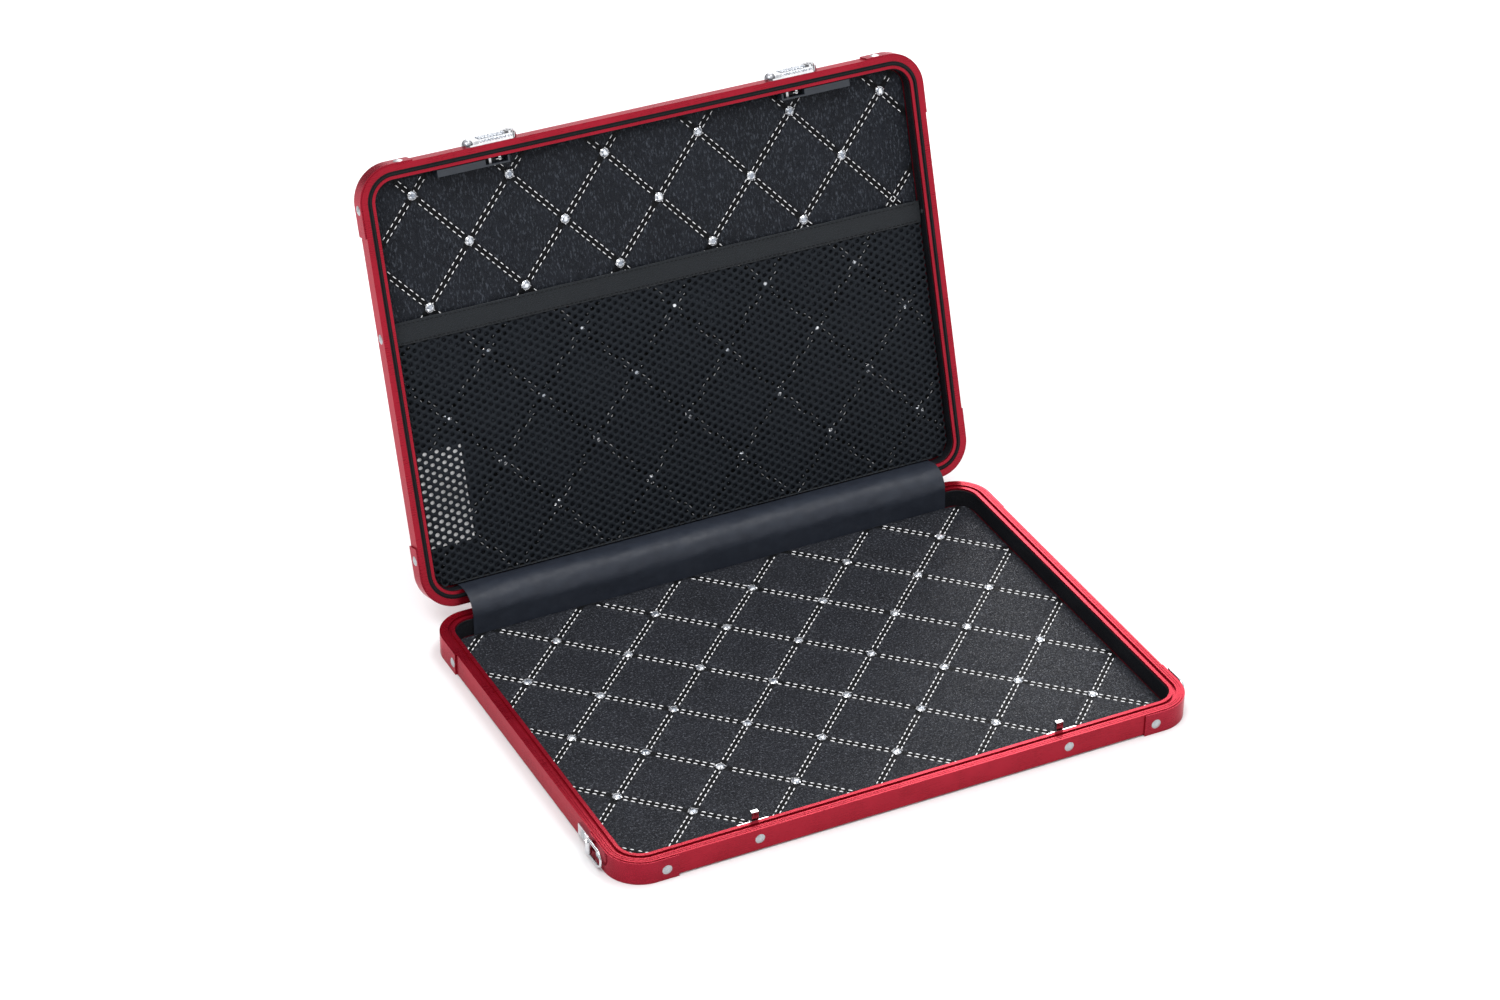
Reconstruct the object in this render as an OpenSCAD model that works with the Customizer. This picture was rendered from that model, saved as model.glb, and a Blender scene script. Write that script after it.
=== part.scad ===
// Slim attache case standing open: a tray base and a shallow lid, each an extruded
// rim ring around a pressed sheet panel, joined by two butt hinges.
// X is the width, the front faces -Y, and Z = 0 is the surface the case stands on.

/* [Case] */
// Width of the frames
case_w = 400; // [380:1:420]
// Depth of the frames, front to back
case_d = 292; // [280:1:310]
// Outer corner radius of the frames, seen from above
corner_r = 23; // [21:1:26]
// Height of the base frame's outer wall
base_h = 15.1; // [15:0.1:17]
// Height of the lid frame's outer wall
lid_h = 10.9; // [10.8:0.1:12]
// Width of the rims, from the outer face to the inner lip
rim_w = 8.9; // [8.8:0.1:9.2]
// Opening angle of the lid
open_angle = 108; // [90:1:108]

/* [Frames and panels] */
// Wall thickness of the rim extrusions
wall_t = 1.6; // [1.4:0.1:1.6]
// Thickness of the flange at the rim
rim_t = 2.6; // [2.4:0.1:2.6]
// Sheet thickness of the panels, and how far their fields are pressed outwards
sheet_t = 1.2; // [1:0.1:1.3]
// Thickness of the corner caps
cap_t = 1; // [0.8:0.1:1]
// Length of a corner cap along the front or back
cap_front = 38; // [36:1:42]
// Length of a corner cap along the sides
cap_side = 43; // [40:1:44]
// Radius of a rivet's head
rivet_r = 3.25; // [3:0.05:3.4]
// Height of a rivet's head
rivet_h = 0.9; // [0.6:0.1:0.9]

/* [Lining and pocket] */
// Thickness of the quilted panels
quilt_t = 2.3; // [2:0.1:2.4]
// Radius of a set stone
stone_r = 2.75; // [2.5:0.05:3]
// Height of a set stone
stone_h = 1.1; // [0.8:0.1:1.1]
// Distance between two rows of stones in the base
base_row_pitch = 33.7; // [32:0.1:34]
// Distance between two stones of a row in the base
base_stone_pitch = 70.6; // [68:0.1:71]
// Distance between two rows of stones in the lid
lid_row_pitch = 36.9; // [35:0.1:37]
// Distance between two stones of a row in the lid
lid_stone_pitch = 67; // [65:0.1:68]
// Distance of the pocket's hem from the hinge edge of the lid
hem_from_back = 175; // [170:1:185]
// Width of the pocket's hem
hem_w = 15; // [12:1:18]

/* [Locks] */
// Distance of each lock's centre from the middle of the case
lock_x = 107.5; // [105:0.5:110]
// Width of a lock's outer plate
lock_w = 37.5; // [36:0.5:40]
// Travel of a lock's sliding knob
lock_travel = 2.4; // [2:0.1:2.4]

/* [Hinges and strap rings] */
// Distance of each hinge's centre from the middle of the case
hinge_x = 110; // [90:1:125]
// Width of a hinge
hinge_w = 50; // [40:1:60]
// Distance of the hinge axis behind the frames
hinge_out = 3; // [3:0.1:3.2]
// Radius of a hinge pin
pin_r = 1.2; // [1:0.1:1.3]
// Half of the hinge strip's width
strip_half = 174; // [160:1:176]
// Radius of the strap ring's wire
wire_r = 0.9; // [0.8:0.05:1.2]

/* [Hidden] */
$fn = 64;
half_w = case_w/2;
half_d = case_d/2;
foot = sheet_t;                     // the frames stand this far above the pressed field
seam_z = foot + base_h;             // parting plane of the closed case
seam_gap = 0.15;                    // each rim stays this far from the parting plane
base_top = seam_z - seam_gap;
lid_low = seam_z + seam_gap;
lid_top = seam_z + lid_h;
hinge_y = half_d + hinge_out;
fit = 0.02;                         // radial clearance of a rivet in its hole
run = 0.05;                         // radial clearance of a part that turns or slides
groove_out = 4.4;                   // base rim: ribbed ledge, groove, inner bead
groove_in = 6.6;
groove_deep = 1.6;
rib_at = [1.3, 2.7];
rib_w = 0.4;
rib_deep = 0.3;
gasket_out = 3.95;                  // lid rim: ledge, gasket, inner bead
gasket_in = 6.9;
gasket_deep = 2.05;
seal_out = 5.1;                     // the gasket's lip stands into the base's groove
seal_in = 5.9;
seal_lip = 0.75;
shank_r = 1.5;
dome_r = (rivet_r*rivet_r + rivet_h*rivet_h)/(2*rivet_h);
through = 12;                       // length of a cutter that passes a whole rim
cap_inset = 7.9;                    // how far a cap reaches under the frame
cap_gap = 0.6;                      // the caps stop this far from the parting plane
base_cap_rivet_z = seam_z - 9;
lid_cap_rivet_z = seam_z + 5.6;
cap_rivet_x = 170;
base_side_rivets = [-115, 107];
lid_side_rivets = [-121, 112];
lining_out = rim_w + 0.05;
lining_in = rim_w + 0.65;
lining_drop = 1.2;                  // the lining starts this far below the rims
quilt_side = 11;                    // quilted panels: inset at the sides and the front
quilt_back = 12.4;                  // and at the back
quilt_r = 12;
panel_step = rim_w + sheet_t;
strike_z = seam_z - 7.3;
strike_w = 21;
strike_t = 1.2;
tab_w = 4.6;                        // tab of a strike, which stands into the lock's recess
tab_out = rim_w + 1.1;
tab_in = rim_w + 3.6;
tab_h = 5.4;
tab_low = 4;
recess_x = 106;                     // middle of the lock's recess and tab, from the case's middle
strike_low = 11;                    // the strike's plate, below the parting plane
strike_h = 9.8;
finger_r = 0.6;
finger_h = 3.6;                     // height of the bolt's finger above the parting plane
finger_inset = rim_w + 2.3;
finger_in = 1.7;                    // it reaches this far into the tab's eye
arm_gap = 0.3;
arm_t = 1.6;                        // arm that carries the finger, and the guide across the tab
arm_h = 1.5;
bar_low = 1.9;                      // the bar and its arm start below the lock's centre
bar_h = 4;
eye_r = 0.9;
lock_mid = 5.5;                     // height of the lock's centre above the parting plane
lock_half_h = 4.6;
lock_plate_t = 1.2;
lock_body_t = 4;
boss_t = 5.5;
boss_at = 13;
plug_r = 2.5;
key_w = 0.8;                        // the plug's key slot
key_h = 3.2;
key_deep = 1.2;
lock_lift = 0.3;                    // the knob's gap over the plate; the plug stands out as much
knob_r = 3.75;
knob_h = 3.4;
knob_at = knob_r - lock_w/2;        // place of the knob along the lock
body_at = knob_at + knob_r + lock_travel + 0.4;
stem_r = 1.5;
bar_out = 4.9;                      // the bolt's bar slides inside the rim extrusion
bar_in = 6.9;
bar_end = 9.5;
lock_pillar_at = 17;
lock_rivet_at = -5;
case_near = 97;                     // lock cases, measured from the middle of the lid
case_far = 147;
case_in = rim_w + 5.3;
case_low = 0.5;
case_high = 8.3;
case_wall = 1;
recess_half = 7.7;
window_low = 3;                     // window for the bolt's arm, above the parting plane
window_h = 3.2;
net_h = 6.7;                        // height of the net over the parting plane
net_t = 0.6;
net_half = half_w - 10.4;
hem_t = 1.3;
label_at = [-188, 43];
label_w = 31;
label_h = 65;
label_t = 0.3;
strip_r = 12.8;                     // inner radius of the strip around the hinge axis
strip_t = 1;
strip_foot = 3.9;
strip_reach = 8;
seg = hinge_w/5;
seg_gap = 0.15;
knuckle_r = 2.6;
leaf_t = 1.2;
leaf_h = 9.6;
leaf_clear = knuckle_r + 0.4;
leaf_drop = leaf_h + 1.9;           // the base leaf reaches this far below the parting plane
leaf_rivet_r = 1.9;
leaf_rivet_h = 0.5;
leaf_rivet_x = 18;
leaf_rivet_z = 8.2;                 // rivets of the base leaf, below the parting plane
leaf_rivet_n = 7;                   // and of the lid leaf, above it, clear of the lugs
pin_end = 0.3;                      // the pin stands out this far, under its heads
pin_head_h = 0.6;
pin_head_r = pin_r + 0.5;
stop_reach = 9.8;
stop_low = 3.5;
stop_high = 0.8;
ring_y = -107;
ring_z = 8.3;
ring_half = 5.6;
ring_arm = 12;
ring_out = cap_t + 2.4;             // distance of the ring's wire from the frame's face
barrel_r = 2.2;
barrel_half = 4.2;
ear_t = 1.35;
ear_len = 8;
bracket_t = cap_t + 0.6;
bracket_back = 15;
bracket_rivet_y = -95;
base_first_row = 105;               // stones: the row nearest the hinges, and where it starts
base_first_stone = -129;
base_rows = 8;
lid_first_row = 99;
lid_first_stone = -163;
lid_rows = 7;

RED = [0.66, 0.05, 0.13];
SILVER = [0.8, 0.8, 0.82];
BLACK = [0.06, 0.06, 0.07];

// ---- outlines and placing -------------------------------------------------

// Rounded outline of the case, drawn this far inside its outer face
module plan(inset) {
    r = corner_r - inset;
    square([case_w - 2*inset - 2*r, case_d - 2*inset], center = true);
    square([case_w - 2*inset, case_d - 2*inset - 2*r], center = true);
    for (x = [-1, 1], y = [-1, 1])
        translate([x*(half_w - corner_r), y*(half_d - corner_r)]) circle(r);
}

// Ring between two insets and two heights
module band(outer, inner, z0, z1) {
    translate([0, 0, z0]) linear_extrude(z1 - z0) difference() {
        plan(outer);
        plan(inner);
    }
}

// Plate that fills the outline at an inset
module plate(inset, z0, z1) {
    translate([0, 0, z0]) linear_extrude(z1 - z0) plan(inset);
}

// Puts a child, made with its outward side at +Z, on the front, a side or the back
module on_front(x, z) {
    translate([x, -half_d, z]) rotate([90, 0, 0]) children();
}

module on_side(side, y, z) {
    translate([side*half_w, y, z]) rotate([0, side*90, 0]) children();
}

module on_back(x, z) {
    translate([x, half_d, z]) rotate([-90, 0, 0]) children();
}

// Turns a part that is drawn closed to where it stands on the open lid
module on_lid() {
    translate([0, hinge_y, seam_z]) rotate([-open_angle, 0, 0])
        translate([0, -hinge_y, -seam_z]) children();
}

// Rivet whose head sits at a height above the face and whose shank goes to a depth
module rivet(lift, depth) {
    translate([0, 0, lift]) intersection() {
        translate([0, 0, rivet_h - dome_r]) sphere(dome_r);
        translate([-rivet_r - 1, -rivet_r - 1, 0]) cube([2*rivet_r + 2, 2*rivet_r + 2, rivet_h + 1]);
    }
    translate([0, 0, -depth]) cylinder(r = shank_r, h = depth + lift);
}

module rivet_hole(depth, r = shank_r + fit) {
    translate([0, 0, -depth]) cylinder(r = r, h = depth + 3);
}

// Two-sided bar with round ends, drawn along X
module slot(length, r) {
    square([length, 2*r], center = true);
    for (x = [-1, 1]) translate([x*length/2, 0]) circle(r);
}

// ---- frames and panels ----------------------------------------------------

module cap_rivet_places(rivet_z, side_rivets) {
    for (x = [-1, 1]) {
        on_front(x*cap_rivet_x, rivet_z) children();
        on_back(x*cap_rivet_x, rivet_z) children();
        for (y = side_rivets) on_side(x, y, rivet_z) children();
    }
}

module base_frame() {
    color(RED) difference() {
        union() {
            band(0, wall_t, foot, base_top);
            band(0, rim_w, base_top - rim_t, base_top);
            band(rim_w - wall_t, rim_w, foot + sheet_t, base_top);
        }
        band(groove_out, groove_in, base_top - groove_deep, base_top + 1);
        for (w = rib_at) band(w, w + rib_w, base_top - rib_deep, base_top + 1);
        cap_rivet_places(base_cap_rivet_z, base_side_rivets) rivet_hole(wall_t + 1);
        for (x = [-1, 1]) {
            on_front(x*lock_x, strike_z) rivet_hole(through);
            on_side(x, bracket_rivet_y, ring_z) rivet_hole(wall_t + 1);
            translate([x*hinge_x, 0, 0]) base_leaf_rivet_places() rivet_hole(wall_t + 1, pin_r + fit);
        }
    }
}

// Sheet with a flange inside the frame's wall and a field pressed outwards
module pressed_panel() {
    band(wall_t + 0.05, panel_step, foot, foot + sheet_t);
    band(rim_w, panel_step, 0, foot + sheet_t);
    plate(rim_w, 0, sheet_t);
}

module base_panel() {
    color(RED) pressed_panel();
}

module lid_panel() {
    color(RED) on_lid() translate([0, 0, lid_top + foot]) mirror([0, 0, 1]) pressed_panel();
}

module lid_frame() {
    color(RED) on_lid() difference() {
        union() {
            band(0, wall_t, lid_low, lid_top);
            band(0, rim_w, lid_low, lid_low + rim_t);
            band(rim_w - wall_t, rim_w, lid_low, lid_top - sheet_t);
        }
        band(gasket_out, gasket_in, lid_low - 1, lid_low + gasket_deep);
        cap_rivet_places(lid_cap_rivet_z, lid_side_rivets) rivet_hole(wall_t + 1);
        for (x = [-1, 1]) {
            on_side(x, hem_y(), lid_cap_rivet_z) rivet_hole(through);
            translate([x*hinge_x, 0, 0]) lid_leaf_rivet_places() rivet_hole(wall_t + 1, pin_r + fit);
            lock_cutters(x);
        }
    }
}

// Sealing strip that fills the lid's groove, with a lip that stands into the base's
module lid_gasket() {
    color(BLACK) on_lid() union() {
        band(gasket_out + 0.05, gasket_in - 0.05, lid_low + 0.15, lid_low + gasket_deep - 0.05);
        band(seal_out, seal_in, seam_z - seal_lip, lid_low + 1);
    }
}

// Cap around one corner of a frame that stands on its outer side at z = 0
module corner_cap(side, end, height, rivet_z, rivet_y) {
    difference() {
        intersection() {
            union() {
                band(-cap_t, 0, foot - cap_t, height - cap_gap);
                band(-cap_t, cap_inset, foot - cap_t, foot);
            }
            translate([side*(half_w - cap_front/2 + 5), end*(half_d - cap_side/2 + 5), 0])
                cube([cap_front + 10, cap_side + 10, 4*height], center = true);
        }
        if (end < 0) on_front(side*cap_rivet_x, rivet_z) rivet_hole(2);
        if (end > 0) on_back(side*cap_rivet_x, rivet_z) rivet_hole(2);
        on_side(side, rivet_y, rivet_z) rivet_hole(2);
    }
}

module base_cap(side, end) {
    rivet_y = base_side_rivets[end < 0 ? 0 : 1];
    color(RED) corner_cap(side, end, foot + base_h, base_cap_rivet_z, rivet_y);
}

module lid_cap(side, end) {
    rivet_y = lid_side_rivets[end < 0 ? 0 : 1];
    flip = lid_top + foot;
    color(RED) on_lid() translate([0, 0, flip]) mirror([0, 0, 1])
        corner_cap(side, end, foot + lid_h, flip - lid_cap_rivet_z, rivet_y);
}

module base_cap_rivets() {
    color(SILVER) cap_rivet_places(base_cap_rivet_z, base_side_rivets) rivet(cap_t, wall_t + 0.5);
}

module lid_cap_rivets() {
    color(SILVER) on_lid()
        cap_rivet_places(lid_cap_rivet_z, lid_side_rivets) rivet(cap_t, wall_t + 0.5);
}

// ---- lining, quilted panels and pocket ------------------------------------

module base_lining() {
    color(BLACK) difference() {
        band(lining_out, lining_in, foot + sheet_t, base_top - lining_drop);
        for (x = [-1, 1]) on_front(x*lock_x, strike_z) rivet_hole(through);
    }
}

module lid_lining() {
    color(BLACK) on_lid() difference() {
        band(lining_out, lining_in, lid_low + lining_drop, lid_top - sheet_t);
        for (x = [-1, 1]) {
            lock_cutters(x);
            on_side(x, hem_y(), lid_cap_rivet_z) rivet_hole(through);
        }
    }
}

module quilt(z0, z1) {
    y0 = quilt_side - half_d;
    y1 = half_d - quilt_back;
    w = case_w - 2*quilt_side;
    translate([0, (y0 + y1)/2, z0]) linear_extrude(z1 - z0) union() {
        square([w - 2*quilt_r, y1 - y0], center = true);
        square([w, y1 - y0 - 2*quilt_r], center = true);
        for (x = [-1, 1], y = [-1, 1])
            translate([x*(w/2 - quilt_r), y*((y1 - y0)/2 - quilt_r)]) circle(quilt_r);
    }
}

module base_quilt() {
    color(BLACK) quilt(sheet_t, sheet_t + quilt_t);
}

module lid_quilt() {
    color(BLACK) on_lid() quilt(lid_top - quilt_t, lid_top);
}

// Stones in staggered rows, the first row at first_y, going towards the front, with the
// first row starting after a number of left-out stones
module stone_rows(rows, first_y, row_pitch, first_x, pitch, left_out) {
    for (row = [0 : rows - 1], i = [(row == 0 ? left_out : 0) : 5]) {
        x = first_x - (row % 2)*pitch/2 + i*pitch;
        if (abs(x) < half_w - quilt_side - 2*stone_r)
            translate([x, first_y - row*row_pitch]) children();
    }
}

module stone() {
    cylinder(r = stone_r, h = stone_h/2);
    translate([0, 0, stone_h/2]) cylinder(r1 = stone_r, r2 = stone_r/2, h = stone_h/2);
}

module base_stones() {
    color(SILVER) translate([0, 0, sheet_t + quilt_t])
        stone_rows(base_rows, base_first_row, base_row_pitch, base_first_stone, base_stone_pitch, 0)
            stone();
}

// The label patch takes the place of the first stone
module lid_stones() {
    color(SILVER) on_lid() translate([0, 0, lid_top - quilt_t]) mirror([0, 0, 1])
        stone_rows(lid_rows, lid_first_row, lid_row_pitch, lid_first_stone, lid_stone_pitch, 1) stone();
}

function hem_y() = half_d - hem_from_back - hem_w/2;

// Net of the pocket, turned up to the panel along its hinge edge
module pocket_net() {
    y0 = half_d - hem_from_back;
    y1 = hinge_y - strip_r - strip_t - 0.8;
    color(BLACK) on_lid() translate([0, 0, seam_z + net_h]) {
        linear_extrude(net_t) intersection() {
            plan(half_w - net_half);
            translate([-net_half, y0]) square([2*net_half, y1 - y0]);
        }
        translate([quilt_r - net_half, y1 - net_t, 0])
            cube([2*(net_half - quilt_r), net_t, lid_h - net_h - 0.1]);
    }
}

module pocket_hem() {
    color(BLACK) on_lid() translate([-net_half, hem_y() - hem_w/2, seam_z + net_h + net_t - hem_t])
        cube([2*net_half, hem_w, hem_t]);
}

module pocket_rivets() {
    color(SILVER) on_lid() for (side = [-1, 1])
        on_side(side, hem_y(), lid_cap_rivet_z) rivet(0, lining_in + 0.5);
}

// Blank patch sewn to the lid's lining behind the net
module label_patch() {
    color("white") on_lid() translate([label_at[0], label_at[1], lid_top - quilt_t - label_t])
        cube([label_w, label_h, label_t]);
}

// ---- locks ----------------------------------------------------------------

// Slot for the knob's stem, rivet and pillar holes, and the window for the bolt's arm
module lock_cutters(side) {
    on_front(side*lock_x + knob_at + lock_travel/2, seam_z + lock_mid)
        translate([0, 0, -bar_out - 0.2]) linear_extrude(bar_out + 2) slot(lock_travel + 0.2, stem_r + run);
    for (x = [lock_rivet_at, lock_pillar_at])
        on_front(side*lock_x + x, seam_z + lock_mid) rivet_hole(wall_t + 1, pin_r + fit);
    translate([side*recess_x - recess_half, -half_d + bar_in + 0.1, seam_z + window_low])
        cube([2*recess_half, lining_in - bar_in, window_h]);
}

module strike(side) {
    color(SILVER) difference() {
        union() {
            translate([side*lock_x - strike_w/2, lining_in + 0.05 - half_d, seam_z - strike_low])
                cube([strike_w, strike_t, strike_h]);
            translate([side*recess_x - tab_w/2, tab_out - half_d, seam_z - tab_low])
                cube([tab_w, tab_in - tab_out, tab_h + tab_low]);
        }
        on_front(side*lock_x, strike_z) rivet_hole(through);
        translate([side*recess_x - strike_w, finger_inset - half_d, seam_z + finger_h])
            rotate([0, 90, 0]) cylinder(r = eye_r, h = 2*strike_w);
    }
}

module strike_rivets() {
    color(SILVER) for (side = [-1, 1])
        on_front(side*lock_x, strike_z) rivet(0, lining_in + strike_t + 0.3);
}

module lock_plate(side) {
    color(SILVER) on_lid() on_front(side*lock_x, seam_z + lock_mid) difference() {
        union() {
            linear_extrude(lock_plate_t) slot(lock_w - 2*lock_half_h, lock_half_h);
            intersection() {
                linear_extrude(lock_body_t) slot(lock_w - 2*lock_half_h, lock_half_h);
                translate([body_at, -lock_half_h, 0]) cube([lock_w, 2*lock_half_h, lock_body_t]);
            }
            translate([boss_at, 0, 0]) cylinder(r = lock_half_h, h = boss_t);
        }
        translate([boss_at, 0, -1]) cylinder(r = plug_r + run, h = boss_t + 2);
        translate([knob_at + lock_travel/2, 0, -1])
            linear_extrude(lock_plate_t + 2) slot(lock_travel + 0.2, stem_r + run);
        for (x = [lock_rivet_at, lock_pillar_at])
            translate([x, 0, -1]) cylinder(r = pin_r + fit, h = 1 + lock_plate_t);
    }
}

module lock_plug(side) {
    color(SILVER) on_lid() on_front(side*lock_x + boss_at, seam_z + lock_mid) difference() {
        translate([0, 0, lock_lift]) cylinder(r = plug_r, h = boss_t);
        translate([-key_w/2, -key_h/2, boss_t - key_deep]) cube([key_w, key_h, 2*key_deep]);
    }
}

module lock_knob(side) {
    knob_dome = (knob_r*knob_r + knob_h*knob_h)/(2*knob_h);
    color([0.45, 0.46, 0.48]) on_lid() on_front(side*lock_x + knob_at, seam_z + lock_mid) {
        translate([0, 0, lock_plate_t + lock_lift]) intersection() {
            translate([0, 0, knob_h - knob_dome]) sphere(knob_dome);
            translate([-knob_r - 1, -knob_r - 1, 0]) cube([2*knob_r + 2, 2*knob_r + 2, knob_h + 1]);
        }
        translate([0, 0, -bar_out]) cylinder(r = stem_r, h = bar_out + lock_plate_t + lock_lift);
    }
}

// Bar inside the rim, with an arm that reaches through the window to its finger
module lock_bolt(side) {
    start = side*lock_x + knob_at - stem_r;
    color(SILVER) on_lid() union() {
        translate([start, bar_out - half_d, seam_z + lock_mid - bar_low])
            cube([side*lock_x + bar_end - start, bar_in - bar_out, bar_h]);
        translate([side*recess_x + tab_w/2, -half_d, seam_z]) {
            translate([arm_gap, bar_out, lock_mid - bar_low])
                cube([arm_t, finger_inset + 1 - bar_out, arm_h]);
            translate([-finger_in, finger_inset, finger_h]) rotate([0, 90, 0])
                cylinder(r = finger_r, h = finger_in + arm_gap + arm_t);
        }
    }
}

// Coil spring between the bar and the pillar, as its outer envelope
module lock_spring(side) {
    spring_r = 1.2;
    coil_t = 0.4;
    spring_len = lock_pillar_at - pin_r - bar_end - 0.1;
    color(SILVER) on_lid()
        translate([side*lock_x + bar_end + 0.05, (bar_out + bar_in)/2 - half_d, seam_z + lock_mid])
            rotate([0, 90, 0]) difference() {
                cylinder(r = spring_r, h = spring_len);
                translate([0, 0, -1]) cylinder(r = spring_r - coil_t, h = spring_len + 2);
            }
}

// Cover over the bolt's finger, open towards the tab of the strike
module lock_case(side) {
    centre = side*(case_near + case_far)/2;
    color(BLACK) on_lid() difference() {
        translate([centre - (case_far - case_near)/2, lining_in + 0.05 - half_d, seam_z + case_low])
            cube([case_far - case_near, case_in - lining_in, case_high - case_low]);
        translate([side*recess_x - recess_half, lining_in - 1 - half_d, seam_z - 1])
            cube([2*recess_half, case_in - lining_in + 1 - case_wall, case_high + 1 - case_wall]);
    }
}

// Pillars that hold each plate at one end and back its spring, rivets at the other, and
// the guides that stand across each tab from the bolt's arm
module lock_pillars() {
    color(SILVER) on_lid() for (side = [-1, 1]) {
        on_front(side*lock_x + lock_pillar_at, seam_z + lock_mid)
            translate([0, 0, wall_t - rim_w]) cylinder(r = pin_r, h = rim_w - wall_t + lock_plate_t - 0.1);
        on_front(side*lock_x + lock_rivet_at, seam_z + lock_mid)
            translate([0, 0, -wall_t - 0.6]) cylinder(r = pin_r, h = wall_t + lock_plate_t + 0.5);
        translate([side*recess_x - tab_w/2 - arm_gap - arm_t, lining_in + 0.2 - half_d, seam_z + finger_h])
            cube([arm_t, case_in - case_wall - lining_in - 0.2, arm_h]);
    }
}

// ---- hinges ---------------------------------------------------------------

module base_leaf_rivet_places() {
    for (x = [-1, 0, 1]) on_back(x*leaf_rivet_x, seam_z - leaf_rivet_z) children();
}

module lid_leaf_rivet_places() {
    for (x = [-1, 1]) on_back(x*seg, seam_z + leaf_rivet_n) children();
}

module barrel(first, r, from, to) {
    for (i = [first : 2 : 4])
        translate([i*seg - hinge_w/2 + seg_gap, 0, 0]) {
            translate([0, hinge_y, seam_z]) rotate([0, 90, 0]) cylinder(r = r, h = seg - 2*seg_gap);
            translate([0, half_d, from]) cube([seg - 2*seg_gap, leaf_t, to - from]);
        }
}

module pin_bore() {
    translate([-hinge_w, hinge_y, seam_z]) rotate([0, 90, 0]) cylinder(r = pin_r + run, h = 2*hinge_w);
}

// Base leaf, with lugs on which the open lid's leaf comes to rest
module hinge_base_leaf(side) {
    color(SILVER) translate([side*hinge_x, 0, 0]) difference() {
        union() {
            translate([-hinge_w/2, half_d, seam_z - leaf_drop])
                cube([hinge_w, leaf_t, leaf_drop - leaf_clear]);
            barrel(0, knuckle_r, seam_z - leaf_clear - 1, seam_z);
            for (i = [0, 2, 4])
                translate([i*seg - hinge_w/2 + seg_gap, half_d + leaf_t - 0.1, seam_z - stop_low])
                    cube([seg - 2*seg_gap, stop_reach, stop_low - stop_high]);
        }
        pin_bore();
        base_leaf_rivet_places() rivet_hole(1, pin_r + fit);
    }
}

module hinge_lid_leaf(side) {
    color(SILVER) on_lid() translate([side*hinge_x, 0, 0]) difference() {
        union() {
            translate([-hinge_w/2, half_d, seam_z + leaf_clear]) cube([hinge_w, leaf_t, leaf_h - leaf_clear]);
            barrel(1, knuckle_r, seam_z, seam_z + leaf_clear + 1);
        }
        pin_bore();
        lid_leaf_rivet_places() rivet_hole(1, pin_r + fit);
    }
}

module hinge_pin(side) {
    color(SILVER) translate([side*hinge_x - hinge_w/2, hinge_y, seam_z]) rotate([0, 90, 0]) {
        translate([0, 0, -pin_end]) cylinder(r = pin_r, h = hinge_w + 2*pin_end);
        translate([0, 0, -pin_end - pin_head_h]) cylinder(r = pin_head_r, h = pin_head_h);
        translate([0, 0, hinge_w + pin_end]) cylinder(r = pin_head_r, h = pin_head_h);
    }
}

module leaf_rivet() {
    translate([0, 0, leaf_t]) cylinder(r1 = leaf_rivet_r, r2 = leaf_rivet_r - 0.4, h = leaf_rivet_h);
    translate([0, 0, -wall_t - 0.4]) cylinder(r = pin_r, h = leaf_t + wall_t + 0.4);
}

module hinge_base_rivets() {
    color(SILVER) for (side = [-1, 1])
        translate([side*hinge_x, 0, 0]) base_leaf_rivet_places() leaf_rivet();
}

module hinge_lid_rivets() {
    color(SILVER) on_lid() for (side = [-1, 1])
        translate([side*hinge_x, 0, 0]) lid_leaf_rivet_places() leaf_rivet();
}

// Section of the strip in the YZ plane, with the hinge axis at the origin
module strip_section() {
    reach = 2*(strip_r + strip_t);
    intersection() {
        difference() {
            circle(strip_r + strip_t);
            circle(strip_r);
        }
        polygon([[0, 0], for (a = [0, 1/2, 1]) reach*[cos(180 - a*open_angle), sin(180 - a*open_angle)]]);
    }
    translate([-strip_r - strip_t, strip_foot - seam_z]) square([strip_t, seam_z - strip_foot]);
    rotate(-open_angle) translate([-strip_r - strip_t, 0]) square([strip_t, strip_reach]);
}

// Flexible strip that bends around the hinge axis and hangs into both trays
module hinge_strip() {
    color(BLACK) translate([-strip_half, hinge_y, seam_z]) rotate([90, 0, 90])
        linear_extrude(2*strip_half) strip_section();
}

// ---- strap brackets and rings ---------------------------------------------

module strap_bracket(side) {
    axis_x = half_w + ring_out;
    color(SILVER) mirror([side < 0 ? 1 : 0, 0, 0]) difference() {
        union() {
            translate([half_w, cap_side + 0.2 - half_d, ring_z - barrel_half])
                cube([bracket_t, bracket_back, 2*barrel_half]);
            translate([half_w + cap_t + 0.05, ring_y, ring_z - barrel_half])
                cube([ear_t, ear_len, 2*barrel_half]);
            translate([axis_x, ring_y, ring_z - barrel_half]) cylinder(r = barrel_r, h = 2*barrel_half);
        }
        translate([axis_x, ring_y, 0]) cylinder(r = wire_r + run, h = 2*ring_z);
        on_side(1, bracket_rivet_y, ring_z) rivet_hole(1);
    }
}

module strap_rivets() {
    color(SILVER) for (side = [-1, 1])
        on_side(side, bracket_rivet_y, ring_z) rivet(bracket_t, wall_t + 0.5);
}

// D-shaped wire ring: a bar in the bracket's barrel, two arms and a half circle
module strap_ring(side) {
    color(SILVER) translate([side*(half_w + ring_out), ring_y, ring_z]) {
        translate([0, 0, -ring_half]) cylinder(r = wire_r, h = 2*ring_half);
        for (z = [-1, 1]) translate([0, 0, z*ring_half]) {
            sphere(wire_r);
            rotate([90, 0, 0]) cylinder(r = wire_r, h = ring_arm);
        }
        translate([0, -ring_arm, 0]) rotate([0, 90, 0]) rotate([0, 0, 180])
            rotate_extrude(angle = 180) translate([ring_half, 0]) circle(wire_r);
    }
}

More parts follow.
